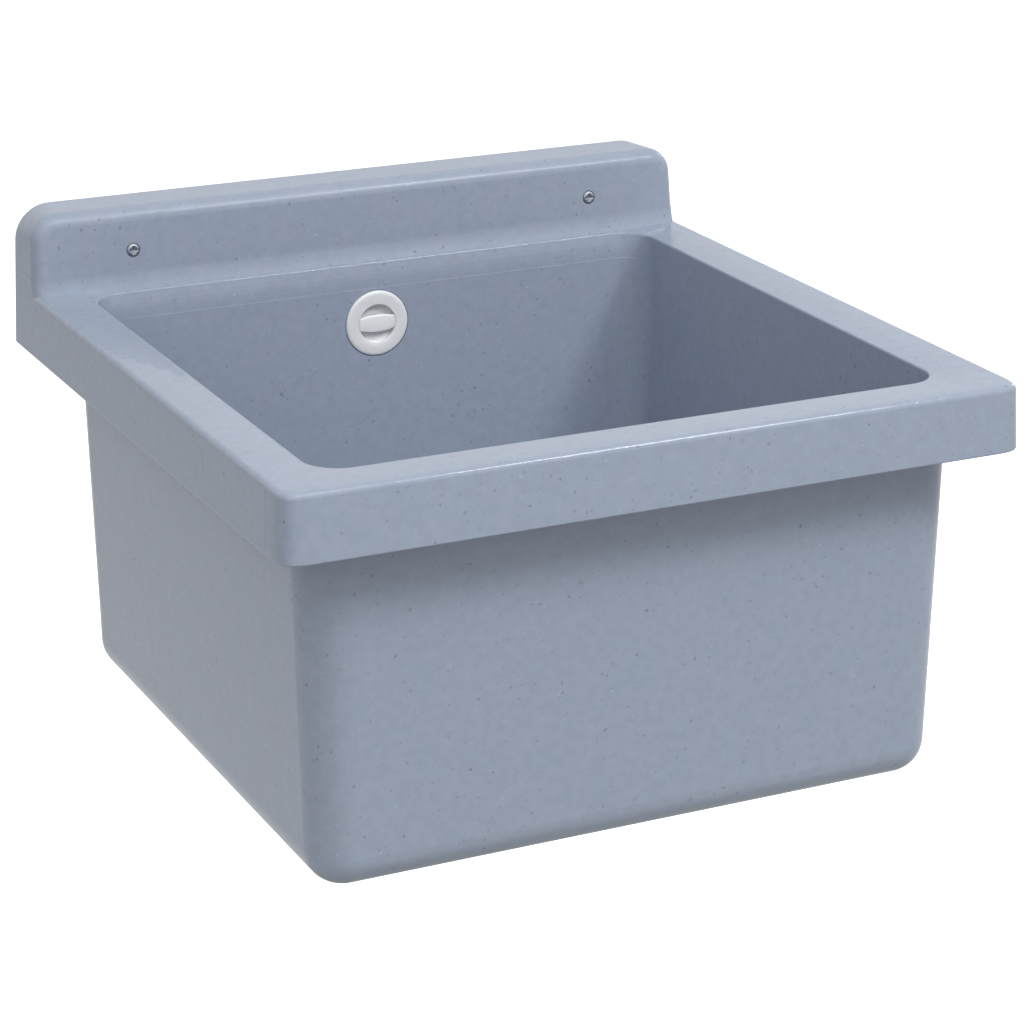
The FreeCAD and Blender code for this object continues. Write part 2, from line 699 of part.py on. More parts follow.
def make_drain_cross():
    """Boss on three arms, held between the drain body and the spigot, that the centre screw pulls on."""
    foot = V(0, 0, cross_foot_z)
    boss = rod(cross_boss_radius, boss_top_z - cross_foot_z, foot, UP)
    arm = Part.makeBox(cross_radius, cross_arm_width, cross_arm_height)
    arm.translate(foot - V(0, cross_arm_width / 2, 0))
    arm = arm.common(rod(cross_radius - cross_clearance, cross_arm_height, foot, UP))
    cross = boss.multiFuse(around(arm, cross_arms, V(0, 0, 0), UP))
    pocket = rod(insert_radius, insert_length, V(0, 0, boss_top_z - insert_length), UP)
    return on_drain(cross.cut(pocket).removeSplitter())


def make_outlet_spigot():
    """Outlet tube under the drain body, with a seat for the cross in its top."""
    profile = [(outlet_bore_radius, outlet_end_z), (outlet_radius, outlet_end_z)]
    profile += [(outlet_radius, outlet_top_z), (cross_radius, outlet_top_z)]
    profile += [(cross_radius, cross_foot_z), (outlet_bore_radius, cross_foot_z)]
    return on_drain(lathe(profile, V(0, 0, 0), UP))


def make_drain_insert():
    """Threaded brass bush in the cross's boss."""
    base = V(0, drain_y, boss_top_z - insert_length)
    return ring(drain_screw_radius + drain_screw_clearance, insert_radius, 0, insert_length, base, UP)


def make_drain_screw():
    """Centre screw that clamps the cup and the drain body to the floor."""
    head = drain_screw_head_height
    profile = [(0, -drain_screw_length), (drain_screw_radius, -drain_screw_length), (drain_screw_radius, 0)]
    profile += [(drain_screw_head_radius, 0), (drain_screw_head_radius, drain_screw_head_side)]
    profile += [(drain_screw_crown_radius, head), (0, head)]
    screw = lathe(profile, V(0, 0, cup_well_z), UP)
    slot = Part.makeBox(2 * drain_screw_head_radius, drain_screw_slot, drain_screw_slot)
    slot.translate(V(-drain_screw_head_radius, -drain_screw_slot / 2, cup_well_z + head - drain_screw_slot))
    return on_drain(screw.cut(slot))


def make_strainer_basket():
    """Slotted steel basket with a turned-out rim."""
    t = basket_sheet
    rim_radius = basket_top_radius + basket_rim_width
    outer = [(post_hole_radius, stopper_top_z), (basket_foot_radius, stopper_top_z)]
    outer += [(basket_top_radius, basket_top_z - t), (rim_radius, basket_top_z - t)]
    outer.append((rim_radius, basket_top_z))
    inner = [(basket_top_radius - t, basket_top_z), (basket_foot_radius - t, basket_floor_z)]
    inner += [(post_hole_radius, basket_floor_z)]
    basket = lathe(outer + inner, V(0, 0, 0), UP)
    slot = Part.makeBox(basket_top_radius, basket_slot_width, basket_slot_height)
    middle = (basket_floor_z + basket_top_z - t - basket_slot_height) / 2
    slot.translate(V(basket_foot_radius - basket_slot_reach, -basket_slot_width / 2, middle))
    return on_drain(basket.cut(around(slot, basket_slots, V(0, 0, 0), UP)))


def make_stopper_seal():
    """Rubber disc under the basket that closes the cup's well."""
    base = V(0, drain_y, cup_ledge_z)
    return ring(post_hole_radius, stopper_radius, 0, stopper_thickness, base, UP)


def make_stopper_plate():
    """Steel washer that backs the rubber disc."""
    base = V(0, drain_y, stopper_nut_top_z)
    return ring(post_hole_radius, stopper_plate_radius, 0, stopper_plate_thickness, base, UP)


def make_stopper_nut():
    """Hexagon nut at the post's foot."""
    corner = stopper_nut_flats / 2 / math.cos(math.pi / hexagon_sides)
    turns = [2 * math.pi * i / hexagon_sides for i in range(hexagon_sides)]
    points = [V(corner * math.cos(turn), corner * math.sin(turn), 0) for turn in turns]
    block = Part.Face(Part.makePolygon(points + points[:1])).extrude(UP * stopper_nut_height)
    nut = block.cut(rod(post_hole_radius, stopper_nut_height, V(0, 0, 0), UP))
    nut.translate(V(0, drain_y, stopper_nut_foot_z))
    return nut


def make_basket_post():
    """Post that carries the knob, the basket and the stopper."""
    foot_z = stopper_nut_foot_z - post_tail
    return rod(post_radius, knob_z - foot_z, V(0, drain_y, foot_z), UP)


def make_basket_knob():
    """Turned knob on the post."""
    profile = [(0, 0), (knob_neck_radius, 0), (knob_waist_radius, knob_waist_height)]
    profile += [(knob_radius, knob_edge_height), (knob_radius, knob_edge_height + knob_edge_width)]
    profile += [(knob_crown_radius, knob_crown_height), (0, knob_height)]
    return lathe(profile, V(0, drain_y, knob_z), UP)


upper_joint, lower_joint = joint_mouths()
pieces = {
    "basin": make_basin(),
    "wall_screws": make_wall_screws(),
    "overflow_rosette": make_overflow_rosette(),
    "overflow_front_seal": make_overflow_front_seal(),
    "overflow_rear_seal": make_overflow_rear_seal(),
    "overflow_elbow": make_overflow_elbow(),
    "overflow_pipe": make_overflow_pipe(),
    "pipe_seals": make_pipe_seals(),
    "pipe_nut_upper": make_pipe_nut(*upper_joint),
    "pipe_nut_lower": make_pipe_nut(*lower_joint),
    "drain_cup": make_drain_cup(),
    "drain_cup_seal": make_drain_cup_seal(),
    "drain_body": make_drain_body(),
    "drain_body_seal": make_drain_body_seal(),
    "drain_cross": make_drain_cross(),
    "outlet_spigot": make_outlet_spigot(),
    "drain_insert": make_drain_insert(),
    "drain_screw": make_drain_screw(),
    "strainer_basket": make_strainer_basket(),
    "stopper_seal": make_stopper_seal(),
    "stopper_plate": make_stopper_plate(),
    "stopper_nut": make_stopper_nut(),
    "basket_post": make_basket_post(),
    "basket_knob": make_basket_knob(),
}

os.makedirs("parts", exist_ok=True)
for name, shape in pieces.items():
    shape.exportStep("parts/" + name + ".step")
    print(name, len(shape.Solids), round(shape.Volume / 1000, 2), "cm3", shape.isValid())
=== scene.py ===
import json
import math
import bmesh
import bpy
from mathutils import Matrix, Vector


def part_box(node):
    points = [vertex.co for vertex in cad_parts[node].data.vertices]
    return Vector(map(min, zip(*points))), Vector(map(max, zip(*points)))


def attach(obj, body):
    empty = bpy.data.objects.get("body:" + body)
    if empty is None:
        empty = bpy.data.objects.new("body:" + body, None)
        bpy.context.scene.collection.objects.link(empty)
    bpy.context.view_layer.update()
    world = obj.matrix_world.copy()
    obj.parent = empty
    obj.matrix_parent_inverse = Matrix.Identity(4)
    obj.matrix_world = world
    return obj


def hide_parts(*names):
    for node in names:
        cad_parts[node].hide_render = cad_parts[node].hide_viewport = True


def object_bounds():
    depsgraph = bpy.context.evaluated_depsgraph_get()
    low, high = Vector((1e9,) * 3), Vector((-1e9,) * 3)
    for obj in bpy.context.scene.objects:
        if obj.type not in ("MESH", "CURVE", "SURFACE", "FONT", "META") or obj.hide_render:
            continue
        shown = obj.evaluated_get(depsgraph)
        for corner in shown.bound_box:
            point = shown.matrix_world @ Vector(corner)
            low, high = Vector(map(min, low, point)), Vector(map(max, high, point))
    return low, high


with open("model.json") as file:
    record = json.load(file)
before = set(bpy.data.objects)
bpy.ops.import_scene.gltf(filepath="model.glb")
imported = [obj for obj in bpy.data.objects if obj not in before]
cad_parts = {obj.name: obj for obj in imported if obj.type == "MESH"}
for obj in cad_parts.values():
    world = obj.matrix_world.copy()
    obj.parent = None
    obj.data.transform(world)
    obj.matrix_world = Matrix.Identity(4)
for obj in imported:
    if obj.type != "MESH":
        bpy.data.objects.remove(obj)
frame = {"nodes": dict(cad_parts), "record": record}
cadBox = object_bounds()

nodes = frame["nodes"]
slotOfNode = {row["node"]: row["material_slot"] for row in frame["record"]["subparts"]}
sameSpot = 1e-6  # metres, points closer than this are one
slack = 1e-5  # metres, for telling on which side of a plane a point lies
print("frame loaded:", len(nodes), "nodes")


# node helpers

def addNode(tree, kind, inputs=None, **settings):
    node = tree.nodes.new(kind)
    for name, value in settings.items():
        setattr(node, name, value)
    for key, value in (inputs or {}).items():
        if isinstance(value, bpy.types.NodeSocket):
            tree.links.new(value, node.inputs[key])
        else:
            node.inputs[key].default_value = value
    return node


def math2(tree, operation, a, b):
    return addNode(tree, "ShaderNodeMath", {0: a, 1: b}, operation=operation).outputs[0]


def vectorMath(tree, operation, inputs):
    return addNode(tree, "ShaderNodeVectorMath", inputs, operation=operation)


def remap(tree, value, span, result):
    inputs = {"Value": value}
    inputs["From Min"], inputs["From Max"] = span
    inputs["To Min"], inputs["To Max"] = result
    return addNode(tree, "ShaderNodeMapRange", inputs, clamp=True).outputs["Result"]


def fadeOut(tree, value, low, high):  # one below low, nothing above high, soft between
    inputs = {"Value": value, "From Min": low, "From Max": high, "To Min": 1.0, "To Max": 0.0}
    return addNode(tree, "ShaderNodeMapRange", inputs, interpolation_type="SMOOTHSTEP").outputs["Result"]


def mixColor(tree, amount, a, b):
    node = addNode(tree, "ShaderNodeMix", {0: amount, 6: a, 7: b}, data_type="RGBA")
    return node.outputs[2]


def noise(tree, place, scale, detail, rough=0.5):
    inputs = {"Vector": place, "Scale": scale, "Detail": detail, "Roughness": rough}
    return addNode(tree, "ShaderNodeTexNoise", inputs).outputs["Fac"]


def newGroup(name, inputs, outputs):
    tree = bpy.data.node_groups.new(name, "ShaderNodeTree")
    for socketName, kind, value in inputs:
        socket = tree.interface.new_socket(socketName, in_out="INPUT", socket_type=kind)
        if value is not None:
            socket.default_value = value
    for socketName, kind in outputs:
        tree.interface.new_socket(socketName, in_out="OUTPUT", socket_type=kind)
    return tree, tree.nodes.new("NodeGroupInput"), tree.nodes.new("NodeGroupOutput")


def useGroup(tree, group, inputs):
    return addNode(tree, "ShaderNodeGroup", inputs, node_tree=group)


# shared effects

vectorKind = "NodeSocketVector"
floatKind = "NodeSocketFloat"
fullSpan = (0.0, 1.0)
reverseSpan = (1.0, 0.0)
midSpan = (0.3, 0.7)  # where most values of a noise lie

grainForm = {
    "stirScale": 1100.0,
    "stirReach": 0.0024,  # how far the outlines are pushed about, in metres
    "sizes": (0.35, 1.0),  # the smallest and the largest, as shares of the size given
    "core": 0.15,  # share of a grain's radius at full strength
}


def makeFleckGroup():  # grains of filler cut open at the surface, each its own size
    inputs = [("Place", vectorKind, None), ("Scale", floatKind, 300.0), ("Size", floatKind, 0.2)]
    tree, given, out = newGroup("castFlecks", inputs, [("Mask", floatKind), ("Pick", floatKind)])
    place = given.outputs["Place"]
    stir = addNode(tree, "ShaderNodeTexNoise", {"Vector": place, "Scale": grainForm["stirScale"]})
    swing = vectorMath(tree, "SUBTRACT", {0: stir.outputs["Color"], 1: (0.5, 0.5, 0.5)})
    push = vectorMath(tree, "SCALE", {0: swing.outputs[0], "Scale": grainForm["stirReach"]})
    ragged = vectorMath(tree, "ADD", {0: place, 1: push.outputs[0]}).outputs[0]
    cells = addNode(tree, "ShaderNodeTexVoronoi", {"Vector": ragged, "Scale": given.outputs["Scale"]})
    lot = addNode(tree, "ShaderNodeTexWhiteNoise", {"Vector": cells.outputs["Color"]})  # drawn for each grain
    parts = addNode(tree, "ShaderNodeSeparateColor", {0: lot.outputs["Color"]})
    share = remap(tree, parts.outputs[0], fullSpan, grainForm["sizes"])
    radius = math2(tree, "MULTIPLY", share, given.outputs["Size"])
    core = math2(tree, "MULTIPLY", radius, grainForm["core"])
    mask = fadeOut(tree, cells.outputs["Distance"], core, radius)
    tree.links.new(mask, out.inputs["Mask"])
    tree.links.new(parts.outputs[1], out.inputs["Pick"])
    return tree


def makeSkinGroup():  # the faint ripple and shine change of a moulded face
    inputs = [("Place", vectorKind, None), ("Ripple", floatKind, 220.0), ("Patch", floatKind, 12.0)]
    tree, given, out = newGroup("mouldedSkin", inputs, [("Height", floatKind), ("Cloud", floatKind)])
    ripple = noise(tree, given.outputs["Place"], given.outputs["Ripple"], detail=2.0)
    cloud = noise(tree, given.outputs["Place"], given.outputs["Patch"], detail=4.0, rough=0.55)
    tree.links.new(ripple, out.inputs["Height"])
    tree.links.new(cloud, out.inputs["Cloud"])
    return tree


def makeRingGroup():  # fine rings left by spinning or turning about an upright axis
    inputs = [("Place", vectorKind, None), ("Rings", floatKind, 900.0)]
    tree, given, out = newGroup("turnedRings", inputs, [("Height", floatKind), ("Tone", floatKind)])
    parts = addNode(tree, "ShaderNodeSeparateXYZ", {0: given.outputs["Place"]})
    flat = addNode(tree, "ShaderNodeCombineXYZ", {0: parts.outputs[0], 1: parts.outputs[1]})
    reach = vectorMath(tree, "LENGTH", {0: flat.outputs[0]}).outputs["Value"]
    along = math2(tree, "ADD", reach, parts.outputs[2])  # rings on the walls too
    line = math2(tree, "MULTIPLY", along, given.outputs["Rings"])
    ringInputs = {"W": line, "Scale": 1.0, "Detail": 3.0}
    ring = addNode(tree, "ShaderNodeTexNoise", ringInputs, noise_dimensions="1D")
    tone = noise(tree, given.outputs["Place"], scale=60.0, detail=3.0)
    tree.links.new(ring.outputs["Fac"], out.inputs["Height"])
    tree.links.new(tone, out.inputs["Tone"])
    return tree


castFlecks = makeFleckGroup()
mouldedSkin = makeSkinGroup()
turnedRings = makeRingGroup()
print("shared effects ready")


# materials

def newMaterial(name, settings):
    material = bpy.data.materials.new(name)
    material.use_nodes = True
    tree = material.node_tree
    shader = tree.nodes["Principled BSDF"]
    for key, value in settings.items():
        shader.inputs[key].default_value = value
    place = addNode(tree, "ShaderNodeTexCoord").outputs["Object"]
    return material, tree, shader, place


def feed(tree, shader, key, value):
    tree.links.new(value, shader.inputs[key])


def addBump(tree, shader, height, form):
    inputs = {"Height": height, "Distance": form["bumpDepth"], "Strength": form["bumpStrength"]}
    feed(tree, shader, "Normal", addNode(tree, "ShaderNodeBump", inputs).outputs["Normal"])


resin = {
    "cool": (0.318, 0.375, 0.469, 1),  # the two tones that drift through the cast
    "violet": (0.335, 0.379, 0.475, 1),
    "driftSpan": (0.35, 0.65),
    "darkGrain": (0.090, 0.100, 0.125, 1),
    "paleGrain": (0.60, 0.64, 0.70, 1),
    "mottle": (0.0, 0.09),
    "flecks": [  # grain, grains per metre, size by their spacing, power that fades most of them, strength
        ("darkGrain", 560.0, 0.26, 1.0, (0.16, 0.16)),  # dust
        ("darkGrain", 240.0, 0.29, 3.0, (0.15, 0.72)),  # most lie deep and show faintly
        ("paleGrain", 165.0, 0.15, 2.0, (0.12, 0.62)),
    ],
    "underShadeTone": (0.150, 0.180, 0.190, 1),
    "underShadeFacing": (-0.80, -0.25),  # faces that look down are darkened with painted shade, for the light from below that they miss; they also lose the coat
    "underShadeShare": 0.55,
    "rimRise": (-0.012, 0.010),  # from the rim to the backsplash
    "polish": (0.40, 0.02),  # coat at the rim and on the backsplash
    "polishRough": 0.03,
    "shine": (0.06, 0.26),  # the broader shine, in the same places
    "rough": (0.28, 0.36),
    "ripple": 180.0,
    "patch": 70.0,
    "bumpDepth": 0.0004,
    "bumpStrength": 0.05,
}


def addFlecks(tree, place, color, grain, scale, size, power, strength):
    flecks = useGroup(tree, castFlecks, {"Place": place, "Scale": scale, "Size": size})
    pick = math2(tree, "POWER", flecks.outputs["Pick"], power)
    amount = math2(tree, "MULTIPLY", flecks.outputs["Mask"], remap(tree, pick, fullSpan, strength))
    return mixColor(tree, amount, color, resin[grain])


def makeResin():
    material, tree, shader, place = newMaterial("speckledResin", {"Coat Roughness": resin["polishRough"]})
    rise = addNode(tree, "ShaderNodeSeparateXYZ", {0: place}).outputs[2]
    facing = addNode(tree, "ShaderNodeNewGeometry").outputs["Normal"]
    upward = addNode(tree, "ShaderNodeSeparateXYZ", {0: facing}).outputs[2]
    under = remap(tree, upward, resin["underShadeFacing"], reverseSpan)
    polish = remap(tree, rise, resin["rimRise"], resin["polish"])
    polished = remap(tree, under, fullSpan, reverseSpan)
    feed(tree, shader, "Coat Weight", math2(tree, "MULTIPLY", polish, polished))
    feed(tree, shader, "Specular IOR Level", remap(tree, rise, resin["rimRise"], resin["shine"]))
    skin = useGroup(tree, mouldedSkin, {"Place": place, "Ripple": resin["ripple"], "Patch": resin["patch"]})
    drift = remap(tree, skin.outputs["Cloud"], resin["driftSpan"], fullSpan)
    color = mixColor(tree, drift, resin["cool"], resin["violet"])
    mottle = remap(tree, skin.outputs["Height"], midSpan, resin["mottle"])
    color = mixColor(tree, mottle, color, resin["darkGrain"])
    for fleck in resin["flecks"]:
        color = addFlecks(tree, place, color, *fleck)
    # painted shade: faces that look down are mixed toward a dark tone
    color = mixColor(tree, math2(tree, "MULTIPLY", under, resin["underShadeShare"]), color, resin["underShadeTone"])
    feed(tree, shader, "Base Color", color)
    feed(tree, shader, "Roughness", remap(tree, skin.outputs["Cloud"], midSpan, resin["rough"]))
    addBump(tree, shader, skin.outputs["Height"], resin)
    return material


mouldedFinish = {
    "ripple": 900.0,
    "patch": 40.0,
    "roughSpread": (-0.05, 0.06),
    "bumpDepth": 0.0002,
    "bumpStrength": 0.06,
}


def makeMoulded(name, base, shade, rough, settings):
    material, tree, shader, place = newMaterial(name, settings)
    scales = {"Ripple": mouldedFinish["ripple"], "Patch": mouldedFinish["patch"]}
    skin = useGroup(tree, mouldedSkin, {"Place": place, **scales})
    spread = [rough + change for change in mouldedFinish["roughSpread"]]
    feed(tree, shader, "Base Color", mixColor(tree, skin.outputs["Cloud"], base, shade))
    feed(tree, shader, "Roughness", remap(tree, skin.outputs["Cloud"], midSpan, spread))
    addBump(tree, shader, skin.outputs["Height"], mouldedFinish)
    return material


turnedFinish = {
    "roughSpread": (-0.08, 0.10),
    "bumpDepth": 0.0001,
    "bumpStrength": 0.12,
}


def makeTurned(name, base, shade, rough, rings, centre):
    material, tree, shader, place = newMaterial(name, {"Metallic": 1.0})
    shift = addNode(tree, "ShaderNodeMapping", {"Vector": place, "Location": centre})
    ring = useGroup(tree, turnedRings, {"Place": shift.outputs[0], "Rings": rings})
    spread = [rough + change for change in turnedFinish["roughSpread"]]
    feed(tree, shader, "Base Color", mixColor(tree, ring.outputs["Tone"], base, shade))
    feed(tree, shader, "Roughness", remap(tree, ring.outputs["Height"], midSpan, spread))
    addBump(tree, shader, ring.outputs["Height"], turnedFinish)
    return material


cupLow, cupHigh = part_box("drain_cup")
drainAxis = (cupLow + cupHigh) / 2
toDrain = (-drainAxis.x, -drainAxis.y, 0.0)  # brings the drain's axis to the pattern's centre

evenly = (1, 1, 1)  # light of all colours goes as deep
thinWall = {"Subsurface Weight": 0.35, "Subsurface Radius": evenly, "Subsurface Scale": 0.0025}
milkWall = {"Subsurface Weight": 0.5, "Subsurface Radius": evenly, "Subsurface Scale": 0.003}
dullSkin = {"Specular IOR Level": 0.4}

finishes = {  # by slot: two tones, roughness, and what makes it its own
    "basin_resin": makeResin(),
    "white_plastic": makeMoulded(
        "whitePlastic", (0.90, 0.91, 0.92, 1), (0.86, 0.87, 0.89, 1), 0.34, milkWall),
    "drain_plastic": makeMoulded(
        "drainPlastic", (0.74, 0.75, 0.75, 1), (0.68, 0.69, 0.69, 1), 0.45, thinWall),
    "seal_rubber": makeMoulded(
        "sealRubber", (0.030, 0.030, 0.033, 1), (0.050, 0.050, 0.052, 1), 0.62, dullSkin),
    "cup_steel": makeTurned(
        "spunSteel", (0.62, 0.62, 0.62, 1), (0.55, 0.55, 0.56, 1), 0.26, 2600.0, toDrain),
    "screw_steel": makeTurned(
        "brightSteel", (0.66, 0.66, 0.66, 1), (0.58, 0.58, 0.58, 1), 0.22, 3400.0, toDrain),
    "insert_brass": makeTurned(
        "turnedBrass", (0.74, 0.56, 0.27, 1), (0.66, 0.48, 0.22, 1), 0.25, 3000.0, toDrain),
}

for name, obj in nodes.items():
    obj.data.materials.clear()
    obj.data.materials.append(finishes[slotOfNode[name]])
print("materials ready:", len(finishes))


# pieces that stand for nodes

def mergedCopy(node):  # the node's mesh with its faces joined, so that it can be reshaped
    bm = bmesh.new()
    bm.from_mesh(nodes[node].data)
    bmesh.ops.remove_doubles(bm, verts=bm.verts, dist=sameSpot)
    return bm


def standFor(node, mesh, material):
    mesh.materials.clear()
    mesh.materials.append(material)
    piece = bpy.data.objects.new(mesh.name, mesh)
    bpy.context.scene.collection.objects.link(piece)
    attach(piece, "sink")
    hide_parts(node)


def smoothMesh(name, bm, sharpAngle):
    bmesh.ops.recalc_face_normals(bm, faces=bm.faces)
    mesh = bpy.data.meshes.new(name)
    bm.to_mesh(mesh)
    bm.free()
    mesh.shade_smooth()
    mesh.set_sharp_from_angle(angle=math.radians(sharpAngle))
    return mesh


def roundEdges(bm, edges, offset, steps):
    bmesh.ops.bevel(bm, geom=edges, offset=offset, affect="EDGES", segments=steps, profile=0.5, material=-1)


ridgeForm = {
    "footHalf": 0.42,  # half the ridge's foot, in pitches
    "runOut": 0.6,  # where it rises and fades, in pitches
    "pointLeft": 0.05,  # share of the radius left at a tapered end
}


def addThread(bm, foot, axis, thread):  # a helical ridge from foot along axis, running out at both ends
    length, pitch, core, crest = (thread[key] for key in ("length", "pitch", "core", "crest"))
    turns = length / pitch
    steps = round(turns * thread["turnSteps"])
    half = pitch * ridgeForm["footHalf"]
    side = Vector((1, 0, 0))
    ridge = bmesh.new()
    low = ridge.verts.new(foot + side * core - axis * half)
    top = ridge.verts.new(foot + side * crest)
    high = ridge.verts.new(foot + side * core + axis * half)
    edges = [ridge.edges.new((low, top)), ridge.edges.new((top, high))]
    bmesh.ops.spin(
        ridge, geom=[low, top, high] + edges, cent=foot, axis=axis, dvec=axis * (length / steps),
        angle=math.tau * turns, steps=steps)
    for vert in ridge.verts:
        along = (vert.co - foot).dot(axis)
        middle = foot + axis * along
        outward = vert.co - middle
        reach = outward.length
        if reach > (core + crest) / 2:
            fade = min(along, length - along) / (pitch * ridgeForm["runOut"])
            reach = core + (crest - core) * max(0.0, min(1.0, fade))
        if thread["taper"]:
            reach *= max(ridgeForm["pointLeft"], min(1.0, (length - along) / thread["taper"]))
        vert.co = middle + outward.normalized() * reach
    mesh = bpy.data.meshes.new("ridge")
    ridge.to_mesh(mesh)
    ridge.free()
    bm.from_mesh(mesh)
    bpy.data.meshes.remove(mesh)


# basin

basinCorner = {
    "radius": 0.0225,  # the skirt's front corners in the solid
    "power": 4.5,  # draws them out to the tighter corners of the cast
    "step": 0.00002,  # over which the stretch is measured
}
basinLow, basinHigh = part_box("basin")
cornerSide = basinHigh.x - basinCorner["radius"]
cornerFront = basinLow.y + basinCorner["radius"]


def squareOff(place):
    across, along = abs(place.x) - cornerSide, cornerFront - place.y
    if across <= 0 or along <= 0:
        return place.copy()
    reach = math.hypot(across, along)
    power = basinCorner["power"]
    grow = ((across / reach) ** power + (along / reach) ** power) ** (-1 / power)
    return Vector((math.copysign(cornerSide + across * grow, place.x), cornerFront - along * grow, place.z))


def squareNormal(place, normal):  # the normal after squareOff, from how it stretches its surroundings
    if abs(place.x) <= cornerSide or place.y >= cornerFront:
        return normal
    step = basinCorner["step"]
    here = squareOff(place)
    overX = (squareOff(place + Vector((step, 0, 0))) - here) / step
    overY = (squareOff(place + Vector((0, step, 0))) - here) / step
    stretch = Matrix(((overX.x, overY.x, 0), (overX.y, overY.y, 0), (0, 0, 1)))
    return (stretch.inverted().transposed() @ normal).normalized()


def makeBasin():
    mesh = nodes["basin"].data.copy()
    mesh.name = "castBasin"
    places = [vert.co.copy() for vert in mesh.vertices]
    normals = [corner.vector.copy() for corner in mesh.corner_normals]
    turned = [squareNormal(places[loop.vertex_index], normal) for loop, normal in zip(mesh.loops, normals)]
    for vert, place in zip(mesh.vertices, places):
        vert.co = squareOff(place)
    mesh.normals_split_custom_set(turned)
    standFor("basin", mesh, finishes["basin_resin"])


# wall screws

wallScrew = {
    "side": 0.1405,  # from the middle to each screw
    "shank": 0.0020,  # what lies farther out behind the wall plane is thread
    "pointFrom": 0.03,  # so is all that lies this deep in the wall
    "drawIn": 0.70,  # from the thread's outside to its core
    "threadFrom": 0.0015,
    "thread": {
        "core": 0.00173, "crest": 0.0025, "pitch": 0.0022, "length": 0.0425, "turnSteps": 16, "taper": 0.006},
    "color": (0.27, 0.30, 0.34, 1),
    "shade": (0.34, 0.37, 0.41, 1),
    "rough": 0.55,
    "plating": {"Metallic": 1.0, "Coat Weight": 0.3, "Coat Roughness": 0.12},
    "sharpAngle": 40,
}


def makeWallScrews():
    bm = mergedCopy("wall_screws")
    for vert in bm.verts:
        middle = Vector((math.copysign(wallScrew["side"], vert.co.x), vert.co.y, 0))
        outward = vert.co - middle
        threaded = outward.length > wallScrew["shank"] or vert.co.y > wallScrew["pointFrom"]
        if threaded and vert.co.y > -slack:
            vert.co = middle + outward * wallScrew["drawIn"]
    for side in (-1, 1):
        foot = Vector((side * wallScrew["side"], wallScrew["threadFrom"], 0))
        addThread(bm, foot, Vector((0, 1, 0)), wallScrew["thread"])
    zinc = makeMoulded(
        "zincSteel", wallScrew["color"], wallScrew["shade"], wallScrew["rough"], wallScrew["plating"])
    standFor("wall_screws", smoothMesh("wallScrews", bm, wallScrew["sharpAngle"]), zinc)


# overflow cover

overflowCover = {
    "rings": [  # reach from the axis and height above the wall, in metres
        (0.0132, 0.00085), (0.0173, 0.00085), (0.0173, 0.00005), (0.0190, 0.00005),
        (0.0190, 0.0013), (0.0178, 0.0019), (0.0112, 0.0020), (0.0115, 0.0002),
        (0.0116, -0.0018), (0.0045, -0.0018), (0.0045, -0.0026), (0.0112, -0.0026)],  # four for the baffle
    "sleeve": (0.0112, 0.0132),
    "rounding": {4: 0.0005, 5: 0.0008, 6: 0.0004},  # by ring
    "roundSteps": 4,
    "turnSteps": 96,
    "barHalf": 0.0114,
    "barFront": 0.0017,
    "barBack": 0.0001,
    "barHeight": (0.0049, 0.0034),  # half, in the middle and at the ends
    "barCrown": 0.0006,
    "barCuts": 14,
    "barRounding": 0.0005,
    "sharpAngle": 35,
}


def addCoverRing(bm, centre, sleeveEnd):
    points = [(reach, sleeveEnd) for reach in overflowCover["sleeve"]] + overflowCover["rings"]
    verts = [bm.verts.new(centre + Vector((reach, -height, 0))) for reach, height in points]
    edges = [bm.edges.new((verts[i - 1], verts[i])) for i in range(len(verts))]
    bmesh.ops.spin(
        bm, geom=verts + edges, cent=centre, axis=(0, 1, 0), angle=math.tau,
        steps=overflowCover["turnSteps"], use_merge=True)
    bmesh.ops.remove_doubles(bm, verts=bm.verts, dist=sameSpot)
    for ring, rounding in overflowCover["rounding"].items():
        reach, height = overflowCover["rings"][ring]
        around = [edge for edge in bm.edges if all(
            abs(vert.co.y - centre.y + height) < sameSpot
            and abs((vert.co - centre).xz.length - reach) < sameSpot for vert in edge.verts)]
        roundEdges(bm, around, rounding, overflowCover["roundSteps"])


def addCoverBar(bm, centre):
    half, front, back = overflowCover["barHalf"], overflowCover["barFront"], overflowCover["barBack"]
    middle, ends = overflowCover["barHeight"]
    made = bmesh.ops.create_cube(bm, size=1.0)["verts"]
    bmesh.ops.scale(bm, verts=made, vec=(2 * half, front - back, 2 * middle))
    bmesh.ops.translate(bm, verts=made, vec=centre - Vector((0, (front + back) / 2, 0)))
    along = [edge for edge in bm.edges if abs(edge.verts[0].co.x - edge.verts[1].co.x) > half]
    bmesh.ops.subdivide_edges(bm, edges=along, cuts=overflowCover["barCuts"], use_grid_fill=True)
    for vert in bm.verts:
        share = ((vert.co.x - centre.x) / half) ** 2
        vert.co.z = centre.z + (vert.co.z - centre.z) * (1 - share * (1 - ends / middle))
        if vert.co.y < centre.y - front / 2:
            vert.co.y -= overflowCover["barCrown"] * (1 - share)
    inFront = [edge for edge in bm.edges if edge.verts[0].co.y < centre.y - front / 2
               and abs(edge.verts[0].co.x - edge.verts[1].co.x) > slack]
    roundEdges(bm, inFront, overflowCover["barRounding"], overflowCover["roundSteps"])


def makeOverflowCover():
    low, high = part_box("overflow_rosette")
    centre = (low + high) / 2
    centre.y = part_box("overflow_front_seal")[1].y  # the wall that the seal lies on
    bm = bmesh.new()
    addCoverBar(bm, centre)  # first, while the bmesh is empty
    addCoverRing(bm, centre, centre.y - high.y)
    mesh = smoothMesh("overflowCover", bm, overflowCover["sharpAngle"])
    standFor("overflow_rosette", mesh, finishes["white_plastic"])


# outlet spigot

